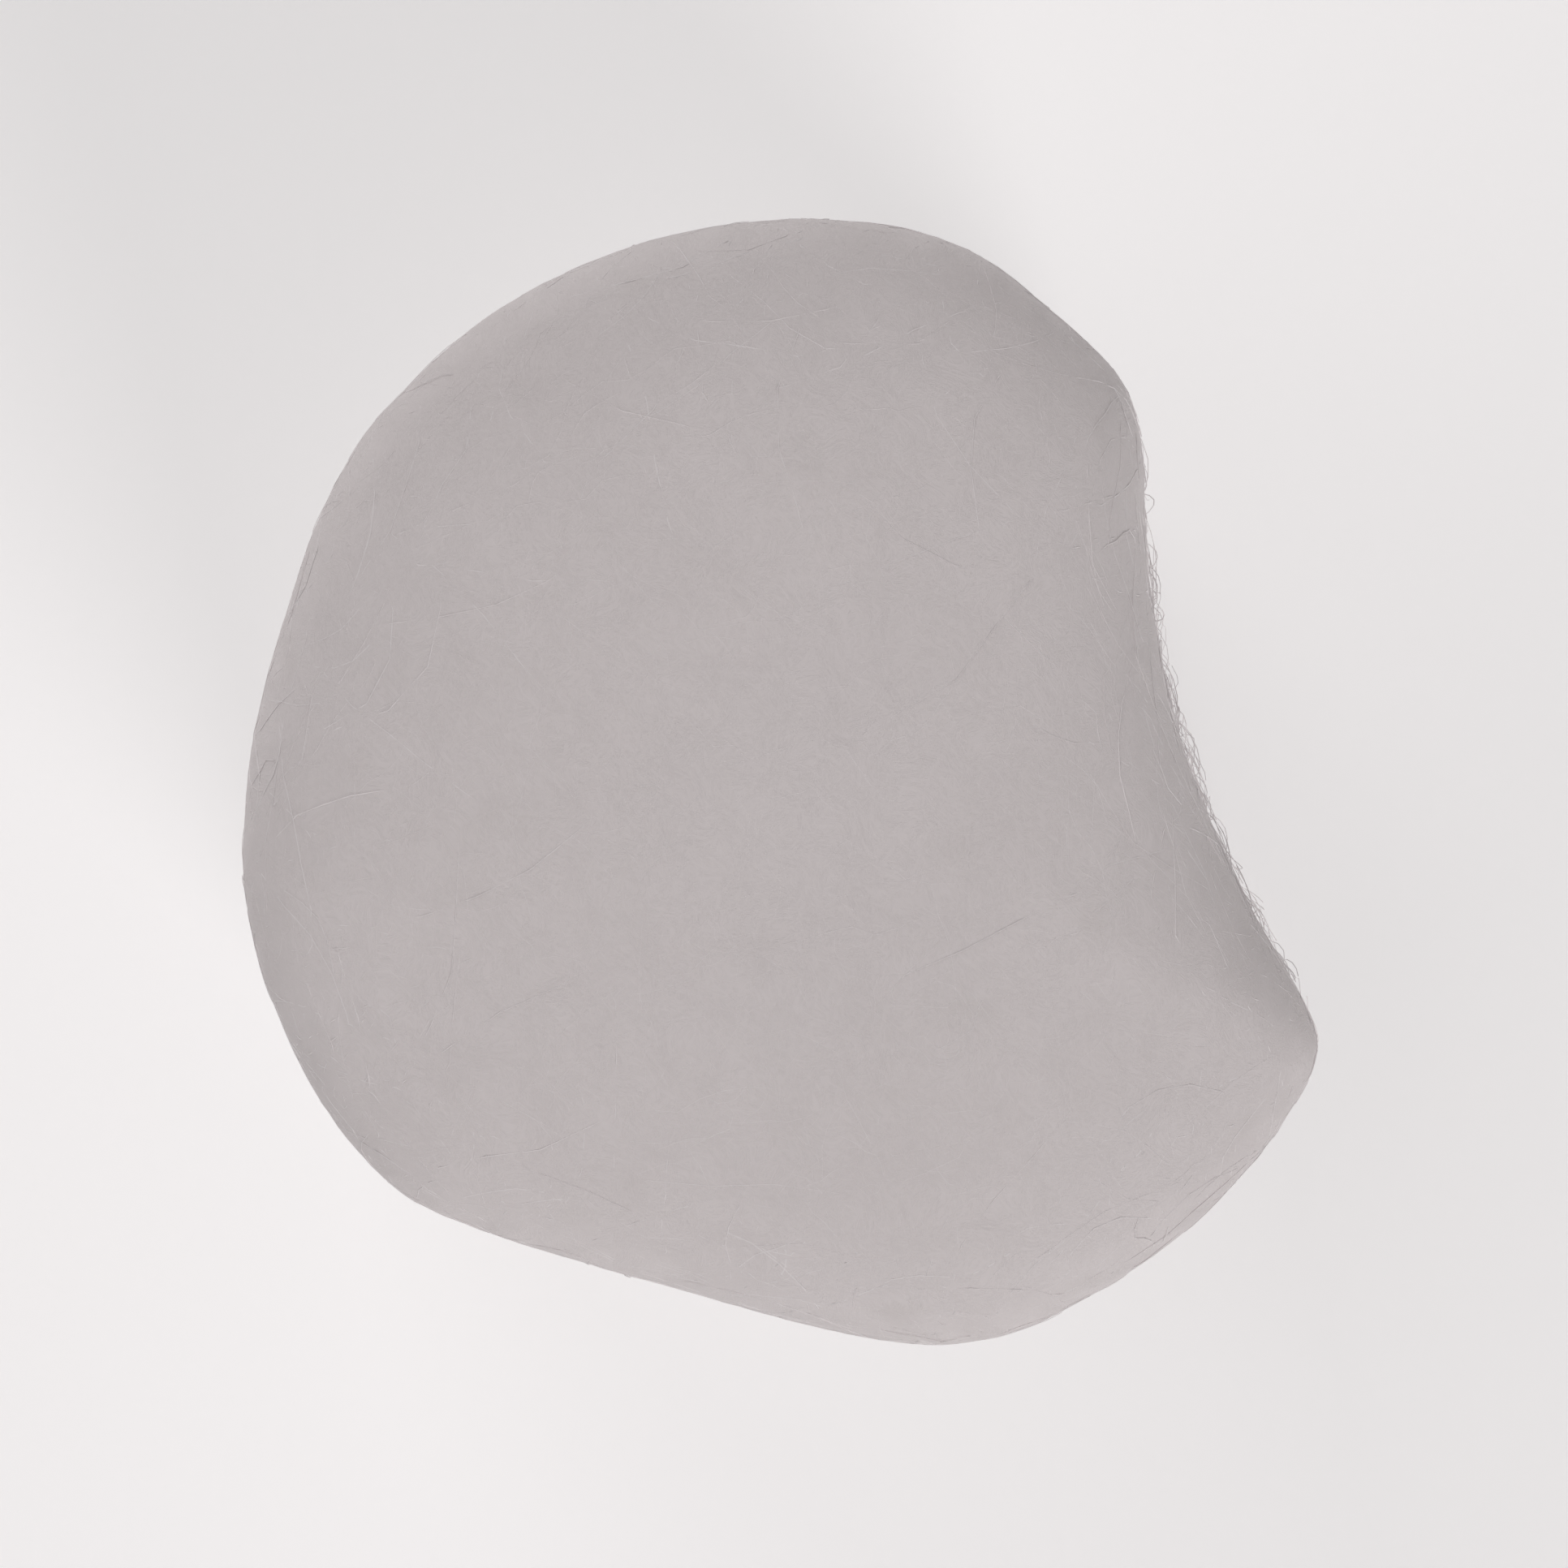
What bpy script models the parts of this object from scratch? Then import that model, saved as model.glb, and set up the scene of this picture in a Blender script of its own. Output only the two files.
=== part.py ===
# Dental cotton roll, medium size: one soft roll of cotton with padded ends, standing on its end.
#
# The origin is at the middle of the base and +Z runs up the roll. The section starts round and is
# then pressed: three flats and one deeper hollow remain where the soft roll was squeezed.

from math import atan2, cos, pi, radians, sin, sqrt

import bmesh
import bpy

# Roll, in metres
ROLL_LENGTH = 0.038
ROLL_RADIUS = 0.0054  # before it is pressed

# Padded ends
TOP_DEPTH = 0.0021  # how far down the side the top's rounding reaches
BASE_DEPTH = 0.0018
BASE_ROUND_WIDTH = 0.0023  # from the side in to the flat that the roll stands on
END_FULLNESS = 2.9  # 2 is an ellipse, higher is flatter in the middle and tighter at the rim

# The hollow, which is rounded inwards
HOLLOW_DIRECTION = 14.4  # degrees from +X towards +Y
HOLLOW_DEPTH = 0.0019
HOLLOW_RADIUS = 0.0092

# The flats, with directions in degrees
SLANT_FLAT_DIRECTION = 45.3
SLANT_FLAT_DEPTH = 0.00054
FRONT_FLAT_DIRECTION = -105.7
FRONT_FLAT_DEPTH = 0.00061
SIDE_FLAT_DIRECTION = 164.6
SIDE_FLAT_DEPTH = 0.00013

EDGE_TIGHTNESS = 28.0  # how tightly the section turns from one flat to the next
BASE_RELIEF = 0.12  # share of each press that is missing at the base, where the roll has sprung back

# Mesh
AROUND = 112
END_RINGS = 11
BODY_RINGS = 10
MERGE_DISTANCE = 0.00001

COTTON_COLOUR = (0.80, 0.742, 0.738, 1.0)  # linear


def end_curve(depth, width, count):
    """Distances in from the side and up from the roll's end, from the side to the flat of the end."""
    points = []
    for i in range(count + 1):
        turn = (pi / 2) * i / count
        inwards = width * (1 - cos(turn) ** (2 / END_FULLNESS))
        outwards = depth * (1 - sin(turn) ** (2 / END_FULLNESS))
        points.append((inwards, outwards))
    return points


def roll_profile():
    """The outer side of the free roll, from the middle of the top down to the middle of the base."""
    top = end_curve(TOP_DEPTH, ROLL_RADIUS, END_RINGS)
    base = end_curve(BASE_DEPTH, BASE_ROUND_WIDTH, END_RINGS)
    upper = ROLL_LENGTH - TOP_DEPTH
    points = [(ROLL_RADIUS - inwards, ROLL_LENGTH - outwards) for inwards, outwards in reversed(top)]
    for i in range(1, BODY_RINGS):
        points.append((ROLL_RADIUS, upper + (BASE_DEPTH - upper) * i / BODY_RINGS))
    points += [(ROLL_RADIUS - inwards, outwards) for inwards, outwards in base]
    points.append((0.0, 0.0))
    return points


def flat_reach(turn, distance):
    """How far out a flat at this distance from the axis lets the section go."""
    return distance / cos(turn) if cos(turn) > 0.05 else None


def ball_reach(turn, distance, radius):
    """The same for a press that bulges towards the axis and comes to this distance from it."""
    centre = distance + radius
    inside = radius**2 - (centre * sin(turn)) ** 2
    if inside < 0 or cos(turn) < 0:
        return None
    return centre * cos(turn) - sqrt(inside)


def pressed_radius(angle, share):
    """The section's radius in one direction, where a share of each press is felt."""
    hollow = ball_reach(angle - radians(HOLLOW_DIRECTION), ROLL_RADIUS - share * HOLLOW_DEPTH, HOLLOW_RADIUS)
    slant = flat_reach(angle - radians(SLANT_FLAT_DIRECTION), ROLL_RADIUS - share * SLANT_FLAT_DEPTH)
    front = flat_reach(angle - radians(FRONT_FLAT_DIRECTION), ROLL_RADIUS - share * FRONT_FLAT_DEPTH)
    side = flat_reach(angle - radians(SIDE_FLAT_DIRECTION), ROLL_RADIUS - share * SIDE_FLAT_DEPTH)
    total = 1.0
    for reach in (hollow, slant, front, side):
        if reach is not None:
            total += (ROLL_RADIUS / reach) ** EDGE_TIGHTNESS
    return ROLL_RADIUS * total ** (-1 / EDGE_TIGHTNESS)


def turned_mesh(points):
    """The closed mesh that the profile sweeps round Z."""
    profile = bpy.data.meshes.new("roll_profile")
    profile.from_pydata([(x, 0.0, z) for x, z in points], [(i, i + 1) for i in range(len(points) - 1)], [])
    holder = bpy.data.objects.new("roll_profile", profile)
    bpy.context.scene.collection.objects.link(holder)
    screw = holder.modifiers.new("Turn", "SCREW")
    screw.axis = "Z"
    screw.steps = AROUND
    screw.render_steps = AROUND
    screw.use_merge_vertices = True
    screw.merge_threshold = MERGE_DISTANCE
    turned = bpy.data.meshes.new_from_object(holder.evaluated_get(bpy.context.evaluated_depsgraph_get()))
    bpy.data.objects.remove(holder)
    return turned


def press(mesh):
    """Presses the turned roll and centres what is left of it over its base."""
    shape = bmesh.new()
    shape.from_mesh(mesh)
    bmesh.ops.remove_doubles(shape, verts=shape.verts, dist=MERGE_DISTANCE)
    for vertex in shape.verts:
        radius = sqrt(vertex.co.x**2 + vertex.co.y**2)
        if radius < MERGE_DISTANCE:
            continue
        angle = atan2(vertex.co.y, vertex.co.x)
        share = 1 - BASE_RELIEF * (1 - vertex.co.z / ROLL_LENGTH)
        scale = pressed_radius(angle, share) / ROLL_RADIUS
        vertex.co.x *= scale
        vertex.co.y *= scale
    across = [vertex.co.x for vertex in shape.verts]
    along = [vertex.co.y for vertex in shape.verts]
    middle = ((min(across) + max(across)) / 2, (min(along) + max(along)) / 2, 0.0)
    for vertex in shape.verts:
        vertex.co.x -= middle[0]
        vertex.co.y -= middle[1]
    shape.to_mesh(mesh)
    shape.free()


def cotton():
    """Bleached cotton: warm white, fully matt."""
    material = bpy.data.materials.new("cotton")
    material.use_nodes = True
    surface = material.node_tree.nodes["Principled BSDF"]
    surface.inputs["Base Color"].default_value = COTTON_COLOUR
    surface.inputs["Roughness"].default_value = 0.95
    surface.inputs["Metallic"].default_value = 0.0
    return material


for old in list(bpy.data.objects):
    bpy.data.objects.remove(old)

group = bpy.data.collections.new("dental_cotton_roll")
bpy.context.scene.collection.children.link(group)

roll_mesh = turned_mesh(roll_profile())
press(roll_mesh)
roll_mesh.name = "cotton_roll"
roll_mesh.materials.clear()
roll_mesh.materials.append(cotton())
roll_mesh.shade_smooth()
roll = bpy.data.objects.new("cotton_roll", roll_mesh)
group.objects.link(roll)
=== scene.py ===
from math import cos, pi, radians, sin

import bmesh
import bpy
import numpy as np
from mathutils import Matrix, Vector
from mathutils.bvhtree import BVHTree


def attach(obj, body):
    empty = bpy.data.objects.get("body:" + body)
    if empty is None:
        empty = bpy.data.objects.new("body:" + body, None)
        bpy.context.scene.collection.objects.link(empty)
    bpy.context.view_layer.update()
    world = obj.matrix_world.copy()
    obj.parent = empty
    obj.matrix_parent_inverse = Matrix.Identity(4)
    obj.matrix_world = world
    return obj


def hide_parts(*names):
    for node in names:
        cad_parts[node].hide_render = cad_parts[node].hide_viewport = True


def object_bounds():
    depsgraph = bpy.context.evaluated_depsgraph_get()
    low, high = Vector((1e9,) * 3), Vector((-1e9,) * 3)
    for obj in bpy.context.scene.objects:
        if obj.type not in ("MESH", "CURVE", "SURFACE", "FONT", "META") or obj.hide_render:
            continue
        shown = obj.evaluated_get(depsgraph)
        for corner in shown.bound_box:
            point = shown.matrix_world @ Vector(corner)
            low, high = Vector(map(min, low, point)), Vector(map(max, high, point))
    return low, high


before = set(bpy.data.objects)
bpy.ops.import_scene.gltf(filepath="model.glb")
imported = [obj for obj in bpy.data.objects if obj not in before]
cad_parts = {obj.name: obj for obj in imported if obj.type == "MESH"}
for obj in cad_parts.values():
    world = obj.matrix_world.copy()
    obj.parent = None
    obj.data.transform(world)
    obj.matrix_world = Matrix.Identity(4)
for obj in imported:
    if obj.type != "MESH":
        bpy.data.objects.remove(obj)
cad_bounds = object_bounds()


# Wad: the roll itself, one wad of bleached cotton rolled up firm and cut to length, with its ends
# plumped over into soft pads. It is carded cotton pressed together, with no cover over it. The flats
# along its side stay where it was squeezed, and shallow lengthwise waves run between them.
MERGE_DISTANCE = 0.00001
WAD_CELL = 0.00015
EVENING_PASSES = 14  # takes the steps out of the remeshed skin
SOFTENING_PASSES = 3
SWELL_SIZE = 0.0034
SWELL_HEIGHT = 0.00006
SWELLS_FULL_AT = 0.0015  # height above the floor
WAVE_WIDTH = 0.0008
WAVES_DRAWN_OUT = 11.0
WAVE_HEIGHT = 0.00004
FACING_START = 0.3  # how far a face may tip to the ends before the waves fade
FACING_FADE = 0.5
COTTON_COLOUR = (0.797, 0.758, 0.758, 1.0)
# The dull end of the cotton's tone, used for its duller patches and for painted shade in the gaps between
# fibres and streaks.
COTTON_DULL_AND_SHADED = (0.735, 0.698, 0.697, 1.0)
SPOT_COLOUR = (0.714, 0.677, 0.671, 1.0)
FIBRE_SPACING = 0.00009
FIBRES_DRAWN_OUT = 9.0
FIBRE_SHARE = 0.6  # of the skin, the rest being the gaps between fibres
FIBRE_LEANS = (-90.0, 40.0)  # on the side, in radians a metre
FIBRE_TURNS = (12.0, 68.0, 131.0)  # on the ends, in degrees from +X
BURIED_SHARE = 0.8  # of a fibre's height, where another layer lies over it
STREAK_WIDTH = 0.00032
STREAKS_DRAWN_OUT = 8.0
PATCH_SCALE = 620.0
SPOT_SCALE = 1100.0
SPOT_START = 0.62
SPOT_FULL = 0.9
# The fibres and streaks paint shade into the hollows of the relief. The patches are tone that varies at
# random.
FIBRE_TONE = 0.35  # how much each of these lifts the colour from shadow to full
PATCH_TONE = 1.0
STREAK_TONE = 1.6
DARKEST_TONE = -0.98
DULLEST_ROUGHNESS = 0.86
FIBRE_ROUGHNESS = 0.1
RELIEF_STRENGTH = 0.42
RELIEF_HEIGHT = 0.000006
STREAK_RELIEF = 7.0  # against a fibre's 1


def deselect_all():
    for other in bpy.context.selected_objects:
        other.select_set(False)


def only(piece):
    deselect_all()
    piece.select_set(True)
    bpy.context.view_layer.objects.active = piece


def weigh(piece, name, share):
    """A vertex group with each vertex's weight from share, held between 0 and 1."""
    group = piece.vertex_groups.new(name=name)
    for vertex in piece.data.vertices:
        group.add([vertex.index], min(1.0, max(0.0, share(vertex))), "REPLACE")


def clouds(name, size):
    texture = bpy.data.textures.new(name, "CLOUDS")
    texture.noise_scale = size
    texture.noise_depth = 1
    return texture


def displace(piece, texture, height, group, space=None):
    layer = piece.modifiers.new(texture.name, "DISPLACE")
    layer.texture = texture
    layer.strength = height
    layer.mid_level = 0.5
    layer.vertex_group = group
    if space is not None:
        layer.texture_coords = "OBJECT"
        layer.texture_coords_object = space
    bpy.ops.object.modifier_apply(modifier=layer.name)


def plug(links, value, socket):
    """Links the value to the socket, or sets the socket to it if it is a plain one."""
    if isinstance(value, bpy.types.NodeSocket):
        links.new(value, socket)
    else:
        socket.default_value = value


def cotton_skin_group():
    """Puts out fine fibres that lie along the skin and cross, and broad soft streaks up the side."""
    group = bpy.data.node_groups.new("cotton_skin", "ShaderNodeTree")
    for name in ("Fibre spacing", "Fibres drawn out", "Fibre share", "Streak width", "Streaks drawn out"):
        group.interface.new_socket(name, in_out="INPUT", socket_type="NodeSocketFloat")
    for name in ("Fibres", "Streaks"):
        group.interface.new_socket(name, in_out="OUTPUT", socket_type="NodeSocketFloat")
    nodes = group.nodes
    links = group.links
    entry = nodes.new("NodeGroupInput").outputs
    leave = nodes.new("NodeGroupOutput").inputs

    def join(value, socket):
        plug(links, value, socket)

    def calculate(operation, a, b):
        node = nodes.new("ShaderNodeMath")
        node.operation = operation
        join(a, node.inputs[0])
        join(b, node.inputs[1])
        return node.outputs[0]

    def shift(operation, a, b):
        node = nodes.new("ShaderNodeVectorMath")
        node.operation = operation
        join(a, node.inputs[0])
        join(b, node.inputs["Scale" if operation == "SCALE" else 1])
        return node.outputs[0]

    def noise(vector, size, detail):
        node = nodes.new("ShaderNodeTexNoise")
        node.inputs["Detail"].default_value = detail
        join(vector, node.inputs["Vector"])
        join(calculate("DIVIDE", 1.0, size), node.inputs["Scale"])
        return node.outputs

    def drawn_out(vector, axis, ratio, turn):
        """Coordinates that draw a pattern out along one axis, turned about Z first."""
        stretch = nodes.new("ShaderNodeCombineXYZ")
        for other in range(3):
            join(ratio if other == axis else 1.0, stretch.inputs[other])
        mapping = nodes.new("ShaderNodeMapping")
        mapping.vector_type = "TEXTURE"
        mapping.inputs["Rotation"].default_value = (0.0, 0.0, turn)
        join(vector, mapping.inputs["Vector"])
        join(stretch.outputs[0], mapping.inputs["Scale"])
        return mapping.outputs[0]

    def ramp(value, low, high, start, end):
        node = nodes.new("ShaderNodeMapRange")
        node.interpolation_type = "SMOOTHSTEP"
        settings = {"Value": value, "From Min": low, "From Max": high, "To Min": start, "To Max": end}
        for name, setting in settings.items():
            join(setting, node.inputs[name])
        return node.outputs["Result"]

    def mix(factor, a, b):
        node = nodes.new("ShaderNodeMix")
        node.data_type = "FLOAT"
        join(factor, node.inputs["Factor"])
        join(a, node.inputs["A"])
        join(b, node.inputs["B"])
        return node.outputs["Result"]

    def split(vector):
        node = nodes.new("ShaderNodeSeparateXYZ")
        join(vector, node.inputs[0])
        return node.outputs

    place = nodes.new("ShaderNodeTexCoord").outputs["Object"]
    spacing = entry["Fibre spacing"]

    def waved(size, swing):
        """Object coordinates pushed to and fro, so that what is drawn out isn't straight."""
        push = shift("SUBTRACT", noise(place, size, 0.0)["Color"], (0.5, 0.5, 0.5))
        return shift("ADD", place, shift("SCALE", push, swing))

    fibre_curl = calculate("MULTIPLY", spacing, 5.0)
    wavy = waved(fibre_curl, fibre_curl)

    def fibres(vector, axis, turn):
        """Thin lines along one axis: the levels of a drawn-out noise."""
        level_step = 0.06
        drawn = drawn_out(vector, axis, entry["Fibres drawn out"], turn)
        level = calculate("PINGPONG", noise(drawn, spacing, 1.0)["Fac"], level_step)
        return ramp(level, 0.0, calculate("MULTIPLY", entry["Fibre share"], level_step), 1.0, 0.0)

    def wound(amount):
        """Coordinates wound round Z, so that what runs along Z leans over by this many radians a metre."""
        turn = nodes.new("ShaderNodeVectorRotate")
        turn.rotation_type = "Z_AXIS"
        join(wavy, turn.inputs["Vector"])
        join(calculate("MULTIPLY", split(wavy)["Z"], amount), turn.inputs["Angle"])
        return turn.outputs[0]

    def piled(layers):
        """Later layers lie on top of the earlier ones."""
        height = layers[0]
        for layer in layers[1:]:
            height = calculate("MAXIMUM", calculate("MULTIPLY", height, BURIED_SHARE), layer)
        return height

    on_side = piled([fibres(wound(lean), 2, 0.0) for lean in FIBRE_LEANS])
    on_end = piled([fibres(wavy, 0, radians(turn)) for turn in FIBRE_TURNS])
    facing = nodes.new("ShaderNodeNewGeometry").outputs["Normal"]
    upness = calculate("ABSOLUTE", split(facing)["Z"], 0.0)
    endness = ramp(upness, 0.3, 0.7, 0.0, 1.0)
    join(mix(endness, on_side, on_end), leave["Fibres"])

    width = entry["Streak width"]
    bend_size = calculate("MULTIPLY", width, 8.0)
    bend_swing = calculate("MULTIPLY", width, 3.0)
    bent = waved(bend_size, bend_swing)
    streaks = noise(drawn_out(bent, 2, entry["Streaks drawn out"], 0.0), width, 2.0)["Fac"]
    join(mix(endness, streaks, 0.5), leave["Streaks"])
    return group


def wad_material(skin_pattern):
    material = bpy.data.materials.new("bleached_cotton")
    material.use_nodes = True
    nodes = material.node_tree.nodes
    links = material.node_tree.links
    surface = nodes["Principled BSDF"]
    surface.inputs["Metallic"].default_value = 0.0
    surface.inputs["Specular IOR Level"].default_value = 0.15
    surface.inputs["Sheen Weight"].default_value = 0.05
    surface.inputs["Sheen Roughness"].default_value = 0.6
    surface.inputs["Sheen Tint"].default_value = (1.0, 0.98, 0.96, 1.0)

    skin = nodes.new("ShaderNodeGroup")
    skin.node_tree = skin_pattern
    skin.inputs["Fibre spacing"].default_value = FIBRE_SPACING
    skin.inputs["Fibres drawn out"].default_value = FIBRES_DRAWN_OUT
    skin.inputs["Fibre share"].default_value = FIBRE_SHARE
    skin.inputs["Streak width"].default_value = STREAK_WIDTH
    skin.inputs["Streaks drawn out"].default_value = STREAKS_DRAWN_OUT

    def weighted(value, weight, rest):
        """value times weight, plus rest."""
        node = nodes.new("ShaderNodeMath")
        node.operation = "MULTIPLY_ADD"
        for socket, setting in zip(node.inputs, (value, weight, rest)):
            plug(links, setting, socket)
        return node.outputs[0]

    def cloudy(scale, detail):
        noise = nodes.new("ShaderNodeTexNoise")
        noise.inputs["Scale"].default_value = scale
        noise.inputs["Detail"].default_value = detail
        links.new(nodes.new("ShaderNodeTexCoord").outputs["Object"], noise.inputs["Vector"])
        return noise.outputs["Fac"]

    def blend_colours(factor, low, high):
        node = nodes.new("ShaderNodeMix")
        node.data_type = "RGBA"
        plug(links, factor, node.inputs["Factor"])
        plug(links, low, node.inputs["A"])
        plug(links, high, node.inputs["B"])
        return node.outputs["Result"]

    # The cotton's colour: soft patches paler and duller at random, and painted shade where the relief
    # sinks, in the gaps between the fibres and between the streaks up the side.
    fibres = skin.outputs["Fibres"]
    streaks = skin.outputs["Streaks"]
    tone = weighted(fibres, FIBRE_TONE, DARKEST_TONE)
    tone = weighted(cloudy(PATCH_SCALE, 2.0), PATCH_TONE, tone)
    tone = weighted(streaks, STREAK_TONE, tone)
    spot = nodes.new("ShaderNodeMapRange")
    spot.interpolation_type = "SMOOTHSTEP"
    spot.inputs["From Min"].default_value = SPOT_START
    spot.inputs["From Max"].default_value = SPOT_FULL
    links.new(cloudy(SPOT_SCALE, 1.0), spot.inputs["Value"])
    cotton = blend_colours(tone, COTTON_DULL_AND_SHADED, COTTON_COLOUR)
    links.new(blend_colours(spot.outputs["Result"], cotton, SPOT_COLOUR), surface.inputs["Base Color"])
    links.new(weighted(fibres, FIBRE_ROUGHNESS, DULLEST_ROUGHNESS), surface.inputs["Roughness"])

    relief = nodes.new("ShaderNodeBump")
    relief.inputs["Strength"].default_value = RELIEF_STRENGTH
    relief.inputs["Distance"].default_value = RELIEF_HEIGHT
    links.new(weighted(streaks, STREAK_RELIEF, fibres), relief.inputs["Height"])
    links.new(relief.outputs["Normal"], surface.inputs["Normal"])
    return material


def smooth(piece, name, passes):
    layer = piece.modifiers.new(name, "SMOOTH")
    layer.factor = 0.5
    layer.iterations = passes
    bpy.ops.object.modifier_apply(modifier=name)


deselect_all()
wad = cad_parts["cotton_roll"].copy()
wad.data = wad.data.copy()
wad.name = "cotton_wad"
wad.parent = None
for key in [key for key in wad.keys() if key.startswith("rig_")]:
    del wad[key]
bpy.context.scene.collection.objects.link(wad)
only(wad)
bpy.ops.object.mode_set(mode="EDIT")
bpy.ops.mesh.select_all(action="SELECT")
bpy.ops.mesh.remove_doubles(threshold=MERGE_DISTANCE)
bpy.ops.object.mode_set(mode="OBJECT")
form = wad.copy()
form.data = wad.data.copy()
form.name = "pressed_form"
bpy.context.scene.collection.objects.link(form)
cells = wad.modifiers.new("cells", "REMESH")
cells.mode = "VOXEL"
cells.voxel_size = WAD_CELL
bpy.ops.object.modifier_apply(modifier="cells")
smooth(wad, "evening", EVENING_PASSES)
settling = wad.modifiers.new("settling", "SHRINKWRAP")
settling.target = form
bpy.ops.object.modifier_apply(modifier="settling")
smooth(wad, "softening", SOFTENING_PASSES)
bpy.data.objects.remove(form)

weigh(wad, "side", lambda vertex: 1.0 - (abs(vertex.normal.z) - FACING_START) / FACING_FADE)
weigh(wad, "above_floor", lambda vertex: vertex.co.z / SWELLS_FULL_AT)
wave_space = bpy.data.objects.new("wave_space", None)
bpy.context.scene.collection.objects.link(wave_space)
wave_space.scale = (1.0, 1.0, WAVES_DRAWN_OUT)
bpy.context.view_layer.update()
displace(wad, clouds("swell", SWELL_SIZE), SWELL_HEIGHT, "above_floor")
displace(wad, clouds("waves", WAVE_WIDTH), WAVE_HEIGHT, "side", wave_space)
bpy.data.objects.remove(wave_space)
for vertex in wad.data.vertices:
    vertex.co.z = max(vertex.co.z, 0.0)
wad.vertex_groups.clear()
wad.data.materials.clear()
wad.data.materials.append(wad_material(cotton_skin_group()))
wad.data.shade_smooth()
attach(wad, "root")
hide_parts("cotton_roll")


# Felt: the outermost fibres, which lie flat on the wad and cross each other. They are single cotton
# hairs about a hundredth of a millimetre thick, a few millimetres long and slightly curly. They run
# mostly lengthwise on the side, and every way over the ends.
HAIR_RADIUS = 0.0000048
HAIR_THICKNESSES = (0.7, 1.25)  # least and most, as shares of the radius
HAIR_LENGTHS = (0.45, 1.4)  # the same for the length
HAIR_SIDES = 3
HAIR_SEGMENTS = 6
HAIR_BEND = 0.22  # radians at each segment, as a usual amount
FLOOR_GAP = 1.3 * HAIR_RADIUS
END_SCATTER = 0.9
SIDE_SCATTER = 0.42
TINT_SCALE = 2400.0
END_FROM = 0.15  # how far a face has to tip to the end to count as part of it
SIDE_TO = 0.85  # how far it may tip and still count as part of the side
FADE_WIDTH = 0.5
LOWEST_ROOT = 0.00004
LOW_HEIGHTS = 1.5  # a power, which makes low hairs the most common
HAIR_COLOUR = (0.878, 0.851, 0.853, 1.0)
HAIR_DULL_COLOUR = (0.830, 0.803, 0.805, 1.0)
FELT_SINK = 0.000004


def hair_material():
    material = bpy.data.materials.new("cotton_hairs")
    material.use_nodes = True
    nodes = material.node_tree.nodes
    links = material.node_tree.links
    surface = nodes["Principled BSDF"]
    surface.inputs["Roughness"].default_value = 0.85
    surface.inputs["Specular IOR Level"].default_value = 0.2
    surface.inputs["Sheen Weight"].default_value = 0.05
    tint = nodes.new("ShaderNodeTexNoise")
    tint.inputs["Scale"].default_value = TINT_SCALE
    tint.inputs["Detail"].default_value = 1.0
    links.new(nodes.new("ShaderNodeTexCoord").outputs["Object"], tint.inputs["Vector"])
    colour = nodes.new("ShaderNodeMix")
    colour.data_type = "RGBA"
    colour.inputs["A"].default_value = HAIR_DULL_COLOUR
    colour.inputs["B"].default_value = HAIR_COLOUR
    links.new(tint.outputs["Fac"], colour.inputs["Factor"])
    links.new(colour.outputs["Result"], surface.inputs["Base Color"])
    return material


def level_with_skin(headings, normals):
    """Directions turned down on to the skin, at length 1."""
    flat = headings - normals * np.sum(headings * normals, axis=1)[:, None]
    return flat / np.maximum(np.linalg.norm(flat, axis=1), 1e-9)[:, None]


def turned_on_skin(headings, normals, angles):
    sideways = np.cross(normals, headings)
    return headings * np.cos(angles)[:, None] + sideways * np.sin(angles)[:, None]


def over_the_end(points, normals, chance):
    """Every way, with a lean to crossing the end from side to side."""
    across = level_with_skin(np.tile([1.0, 0.0, 0.0], (len(points), 1)), normals)
    return turned_on_skin(across, normals, chance.normal(0.0, END_SCATTER, len(points)))


def along_the_side(points, normals, chance):
    upwards = level_with_skin(np.tile([0.0, 0.0, 1.0], (len(points), 1)), normals)
    return turned_on_skin(upwards, normals, chance.normal(0.0, SIDE_SCATTER, len(points)))


def any_way(points, normals, chance):
    return level_with_skin(chance.normal(0.0, 1.0, (len(points), 3)), normals)


def hair_paths(weights, count, length, spread, grain, tallest, fall, chance):
    """Curly paths over the skin, with their roots scattered by the faces' weights.

    grain gives each hair's direction at its root, and spread the scatter on the way. tallest gives
    the height it may rise to, and fall how far through its rise and fall it is at the tip.
    """
    chosen = chance.choice(len(skin_areas), size=count, p=weights / weights.sum())
    mix_a = np.sqrt(chance.random(count))[:, None]
    mix_b = chance.random(count)[:, None]
    first, second, third = skin_faces[chosen].transpose(1, 0, 2)
    points = (1 - mix_a) * first + mix_a * (1 - mix_b) * second + mix_a * mix_b * third
    normals = skin_normals[chosen]
    headings = grain(points, normals, chance)
    bend = chance.normal(0.0, HAIR_BEND, count)
    lengths = length * chance.uniform(*HAIR_LENGTHS, count)
    rises = tallest(points) * chance.random(count) ** LOW_HEIGHTS
    falls = chance.uniform(*fall, count)
    paths = np.empty((count, HAIR_SEGMENTS + 1, 3))
    for step in range(HAIR_SEGMENTS + 1):
        for i in range(count):
            near, normal, _, _ = skin_tree.find_nearest(Vector(points[i]))
            points[i] = near
            normals[i] = normal
        height = rises * np.sin(falls * step / HAIR_SEGMENTS) - FELT_SINK
        paths[:, step] = points + normals * height[:, None]
        turn = bend + chance.normal(0.0, spread, count)
        headings = level_with_skin(turned_on_skin(headings, normals, turn), normals)
        points = points + headings * (lengths / HAIR_SEGMENTS)[:, None]
    paths[:, :, 2] = np.maximum(paths[:, :, 2], FLOOR_GAP)
    return paths


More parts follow.
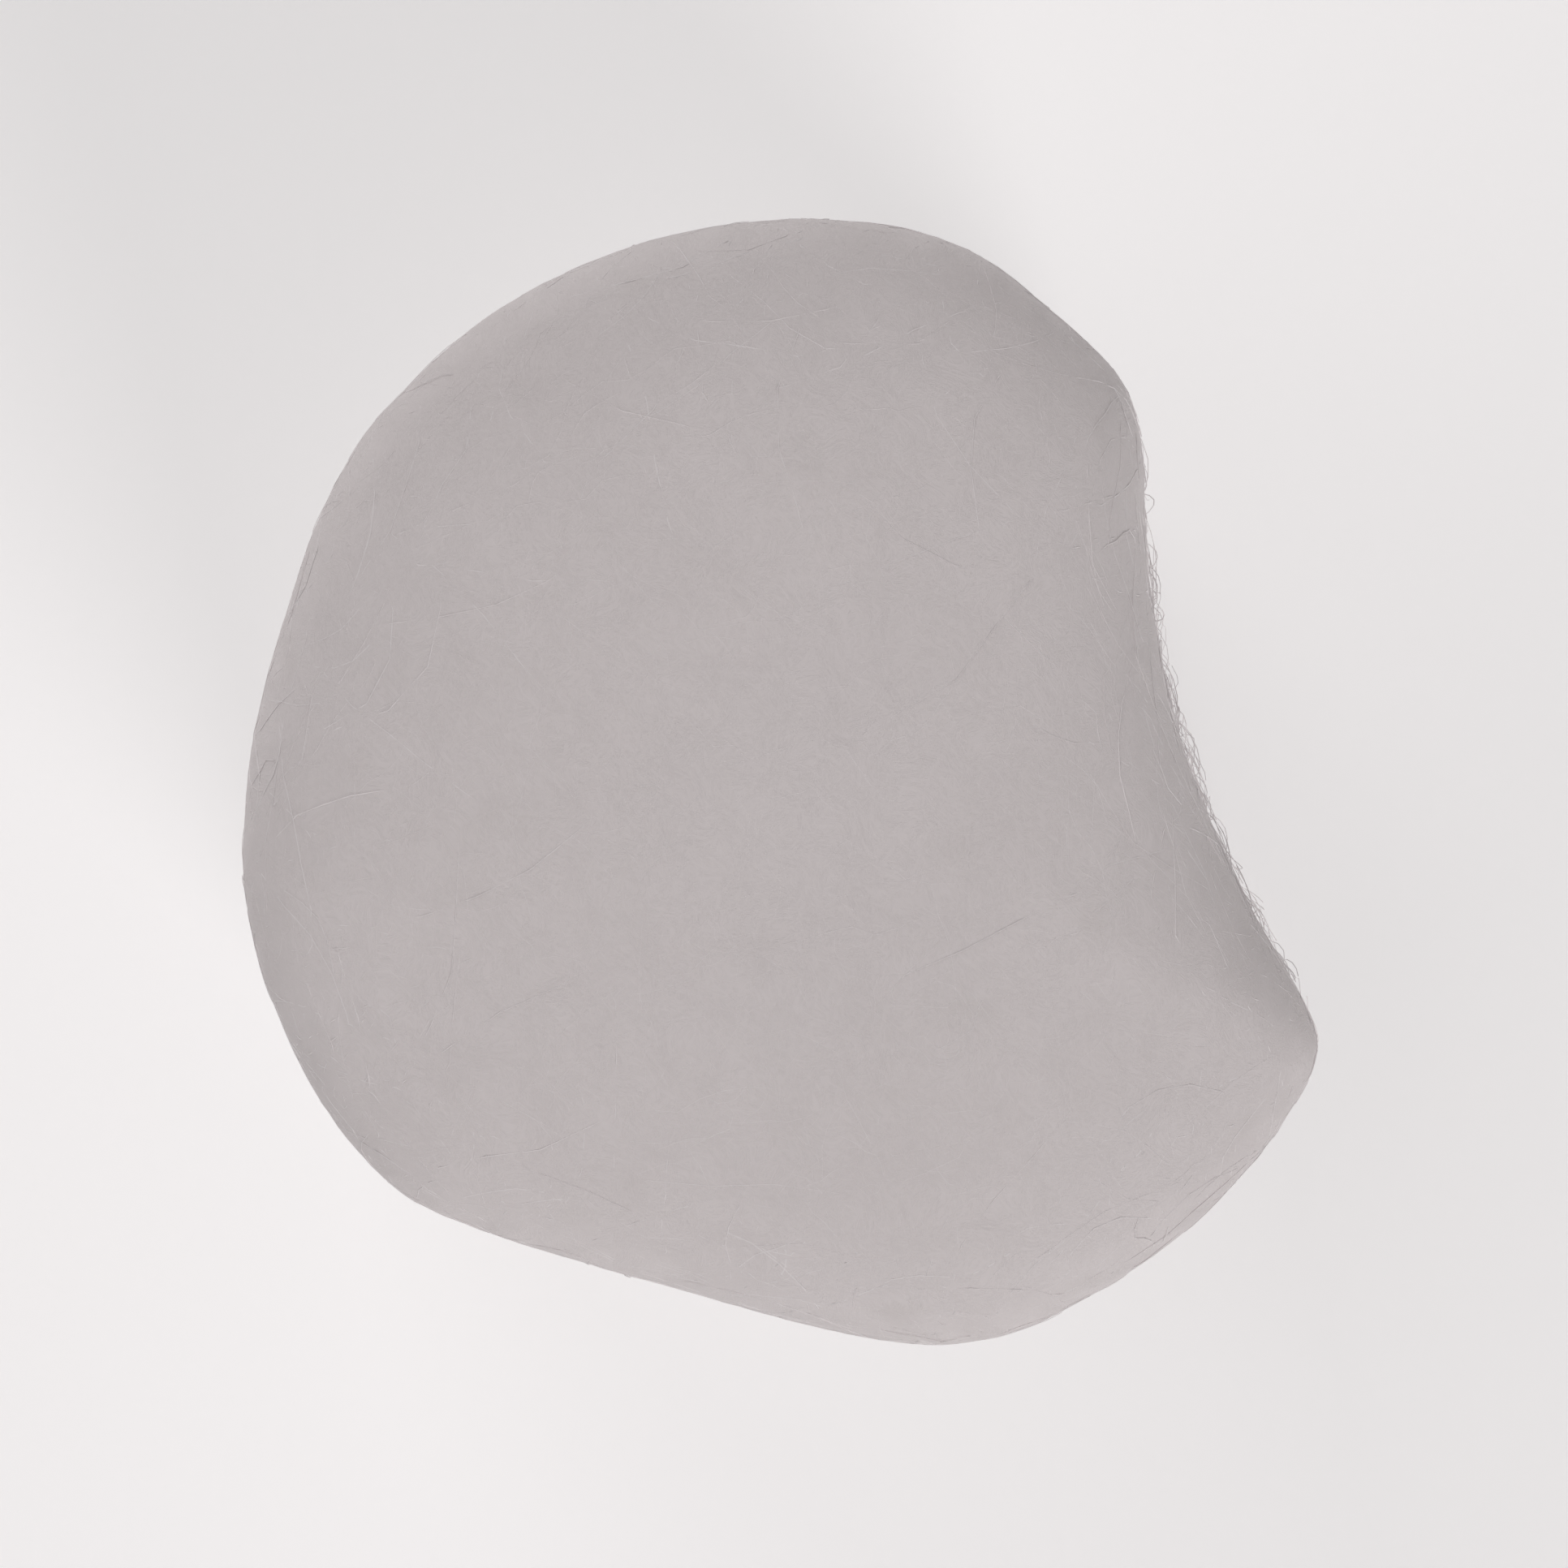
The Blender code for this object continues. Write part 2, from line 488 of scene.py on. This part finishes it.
def hairs_from(name, paths, chance):
    """One mesh of thin three-sided hairs along the paths."""
    curve = bpy.data.curves.new(name, "CURVE")
    curve.dimensions = "3D"
    curve.bevel_mode = "OBJECT"
    curve.bevel_object = hair_section
    curve.use_fill_caps = True
    count = paths.shape[1]
    for path in paths:
        spline = curve.splines.new("POLY")
        spline.points.add(count - 1)
        spline.points.foreach_set("co", np.hstack([path, np.ones((count, 1))]).ravel())
        spline.points.foreach_set("radius", np.full(count, chance.uniform(*HAIR_THICKNESSES)))
    hairs = bpy.data.objects.new(name, curve)
    bpy.context.scene.collection.objects.link(hairs)
    only(hairs)
    bpy.ops.object.convert(target="MESH")
    hairs = bpy.context.active_object
    hairs.data.materials.clear()
    hairs.data.materials.append(hair_finish)
    bpy.ops.object.mode_set(mode="EDIT")
    bpy.ops.mesh.select_all(action="SELECT")
    bpy.ops.mesh.normals_make_consistent(inside=False)
    bpy.ops.object.mode_set(mode="OBJECT")
    hairs.data.shade_flat()
    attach(hairs, "root")


def past(values, start):
    """0 up to the start, then rising to 1."""
    return np.clip((values - start) / FADE_WIDTH, 0.0, 1.0)


hair_finish = hair_material()
skin = bmesh.new()
skin.from_mesh(wad.data)
skin_tree = BVHTree.FromBMesh(skin)
skin.free()
wad.data.calc_loop_triangles()
skin_points = np.empty(len(wad.data.vertices) * 3)
wad.data.vertices.foreach_get("co", skin_points)
skin_corners = np.empty(len(wad.data.loop_triangles) * 3, dtype=np.int64)
wad.data.loop_triangles.foreach_get("vertices", skin_corners)
skin_faces = skin_points.reshape(-1, 3)[skin_corners.reshape(-1, 3)]
skin_normals = np.cross(skin_faces[:, 1] - skin_faces[:, 0], skin_faces[:, 2] - skin_faces[:, 0])
skin_areas = np.linalg.norm(skin_normals, axis=1) / 2
skin_normals /= np.maximum(2 * skin_areas, 1e-20)[:, None]
face_heights = skin_faces.mean(axis=1)[:, 2]
upward = skin_normals[:, 2]
off_the_floor = face_heights > LOWEST_ROOT
on_the_top = skin_areas * past(upward, END_FROM)
on_the_base = skin_areas * past(-upward, END_FROM) * off_the_floor
on_the_side = skin_areas * past(-np.abs(upward), -SIDE_TO)

section_curve = bpy.data.curves.new("hair_section", "CURVE")
section_curve.dimensions = "3D"
section_rim = section_curve.splines.new("POLY")
section_rim.points.add(HAIR_SIDES - 1)
section_rim.use_cyclic_u = True
for corner, point in enumerate(section_rim.points):
    angle = corner * 2 * pi / HAIR_SIDES
    point.co = (HAIR_RADIUS * cos(angle), HAIR_RADIUS * sin(angle), 0.0, 1.0)
hair_section = bpy.data.objects.new("hair_section", section_curve)
bpy.context.scene.collection.objects.link(hair_section)

for name, weights, count, length, spread, grain, lift, seed in (
    ("top_felt", on_the_top, 2400, 0.0011, 0.42, over_the_end, 0.000002, 11),
    ("base_felt", on_the_base, 1300, 0.0016, 0.3, over_the_end, 0.000012, 12),
    ("side_felt_a", on_the_side, 4500, 0.0026, 0.2, along_the_side, 0.000010, 13),
    ("side_felt_b", on_the_side, 4500, 0.0026, 0.2, along_the_side, 0.000010, 14),
    ("side_felt_c", on_the_side, 4500, 0.0026, 0.2, along_the_side, 0.000010, 15),
):
    chance = np.random.default_rng(seed)
    paths = hair_paths(weights, count, length, spread, grain, lambda points: lift, (pi, pi), chance)
    hairs_from(name, paths, chance)


# Fuzz: loose hairs that have worked out of the cotton. They are rooted in the wad, rise off it by up
# to a third of a millimetre and curl back. They are tallest low down on the side, and the padded
# top, which is smooth, has none.
FUZZ_HEIGHT = 0.00002
FUZZ_HEIGHT_LOW_DOWN = 0.00032
FUZZ_GROWS_FROM = 0.005  # down from the top
FUZZ_GROWS_OVER = 0.025
FUZZ_LENGTH = 0.0008
FUZZ_LOWEST_ROOT = 0.0003
FUZZ_TO = 0.5  # how far a face may tip upwards and still have fuzz
FUZZ_SPREAD = 0.35
FUZZ_FALL = (1.3, 3.1)  # from near its highest point at the tip, to back down on the skin


def fuzz_height(points):
    depth = (cad_bounds[1].z - FUZZ_GROWS_FROM - points[:, 2]) / FUZZ_GROWS_OVER
    return FUZZ_HEIGHT + (FUZZ_HEIGHT_LOW_DOWN - FUZZ_HEIGHT) * np.clip(depth, 0.0, 1.0)


off_the_top = past(-upward, -FUZZ_TO)
clear_of_floor = skin_areas * (face_heights > FUZZ_LOWEST_ROOT)
for name, weights, count, seed in (
    ("loose_fuzz", clear_of_floor * off_the_top, 3400, 31),
    ("side_fuzz", on_the_side * off_the_top, 800, 32),
):
    chance = np.random.default_rng(seed)
    paths = hair_paths(weights, count, FUZZ_LENGTH, FUZZ_SPREAD, any_way, fuzz_height, FUZZ_FALL, chance)
    hairs_from(name, paths, chance)
bpy.data.objects.remove(hair_section)


# Floor: a pale table that the roll stands on. Its emission is painted light: a pool of light round the
# roll, strongest near it, which also fills in the roll's shadow at its base, and fades to a faint glow far
# off.
FLOOR_RADIUS = 0.9
TABLE_COLOUR = (0.86, 0.86, 0.86, 1.0)
# Painted pool of light: how strongly the floor glows near the roll and far off, and where it fades
# between.
PAINTED_LIGHT_NEAR = 0.006
PAINTED_LIGHT_FAR = 0.07
PAINTED_LIGHT_MOST = 0.28
PAINTED_LIGHT_LEAST = 0.10

deselect_all()
bpy.ops.mesh.primitive_circle_add(vertices=96, radius=FLOOR_RADIUS, fill_type="NGON", location=(0, 0, 0))
floor = bpy.context.active_object
floor.name = "floor"
floor_material = bpy.data.materials.new("pale_table")
floor_material.use_nodes = True
nodes = floor_material.node_tree.nodes
links = floor_material.node_tree.links
table = nodes["Principled BSDF"]
table.inputs["Base Color"].default_value = TABLE_COLOUR
table.inputs["Roughness"].default_value = 0.9
table.inputs["Specular IOR Level"].default_value = 0.1
table.inputs["Emission Strength"].default_value = 1.0
reach = nodes.new("ShaderNodeVectorMath")
reach.operation = "LENGTH"
links.new(nodes.new("ShaderNodeTexCoord").outputs["Object"], reach.inputs[0])
# Painted pool of light, taken from each point's distance to the roll's axis.
painted_light = nodes.new("ShaderNodeMapRange")
painted_light.interpolation_type = "SMOOTHSTEP"
painted_light.inputs["From Min"].default_value = PAINTED_LIGHT_NEAR
painted_light.inputs["From Max"].default_value = PAINTED_LIGHT_FAR
painted_light.inputs["To Min"].default_value = PAINTED_LIGHT_MOST
painted_light.inputs["To Max"].default_value = PAINTED_LIGHT_LEAST
links.new(reach.outputs["Value"], painted_light.inputs["Value"])
grey = nodes.new("ShaderNodeCombineColor")
for name in ("Red", "Green", "Blue"):
    links.new(painted_light.outputs["Result"], grey.inputs[name])
links.new(grey.outputs["Color"], table.inputs["Emission Color"])
floor.data.materials.append(floor_material)


# Lights: an even pale room, a broad lamp overhead, a soft one in front that makes the near rim of
# the end the lightest, and a weaker one behind.
ROOM_COLOUR = (0.290, 0.279, 0.279, 1.0)
LAMP_COLOUR = (1.0, 0.965, 0.965)
LAMPS_AIM_AT = Vector((0, 0, 0.02))

world = bpy.data.worlds.new("room")
bpy.context.scene.world = world
world.use_nodes = True
world.node_tree.nodes["Background"].inputs["Color"].default_value = ROOM_COLOUR
world.node_tree.nodes["Background"].inputs["Strength"].default_value = 1.0

for name, place, size, power in (
    ("overhead_lamp", (-0.50, 0.0, 0.90), 0.8, 1.45),
    ("front_lamp", (0.33, -0.57, 0.44), 0.40, 2.05),
    ("back_lamp", (-0.34, 0.63, 0.36), 0.50, 1.25),
):
    lamp = bpy.data.lights.new(name, "AREA")
    lamp.shape = "DISK"
    lamp.size = size
    lamp.energy = power
    lamp.color = LAMP_COLOUR
    holder = bpy.data.objects.new(name, lamp)
    bpy.context.scene.collection.objects.link(holder)
    holder.location = place
    aim = LAMPS_AIM_AT - Vector(place)
    holder.rotation_euler = aim.to_track_quat("-Z", "Y").to_euler()


# Camera: straight above the end of the roll, looking down its axis, with the roll's end filling
# about seven tenths of the frame.
CAMERA_DISTANCE = 0.3
SENSOR = 36.0
VIEW_WIDTH = 0.0146

camera_data = bpy.data.cameras.new("camera")
camera_data.lens = SENSOR * CAMERA_DISTANCE / VIEW_WIDTH
camera_data.sensor_width = SENSOR
camera_data.clip_start = 0.001
camera_data.clip_end = 5.0
camera = bpy.data.objects.new("camera", camera_data)
bpy.context.scene.collection.objects.link(camera)
bpy.context.scene.camera = camera
camera.location = (0.0, 0.0, cad_bounds[1].z + CAMERA_DISTANCE)
bpy.context.scene.view_settings.view_transform = "Standard"
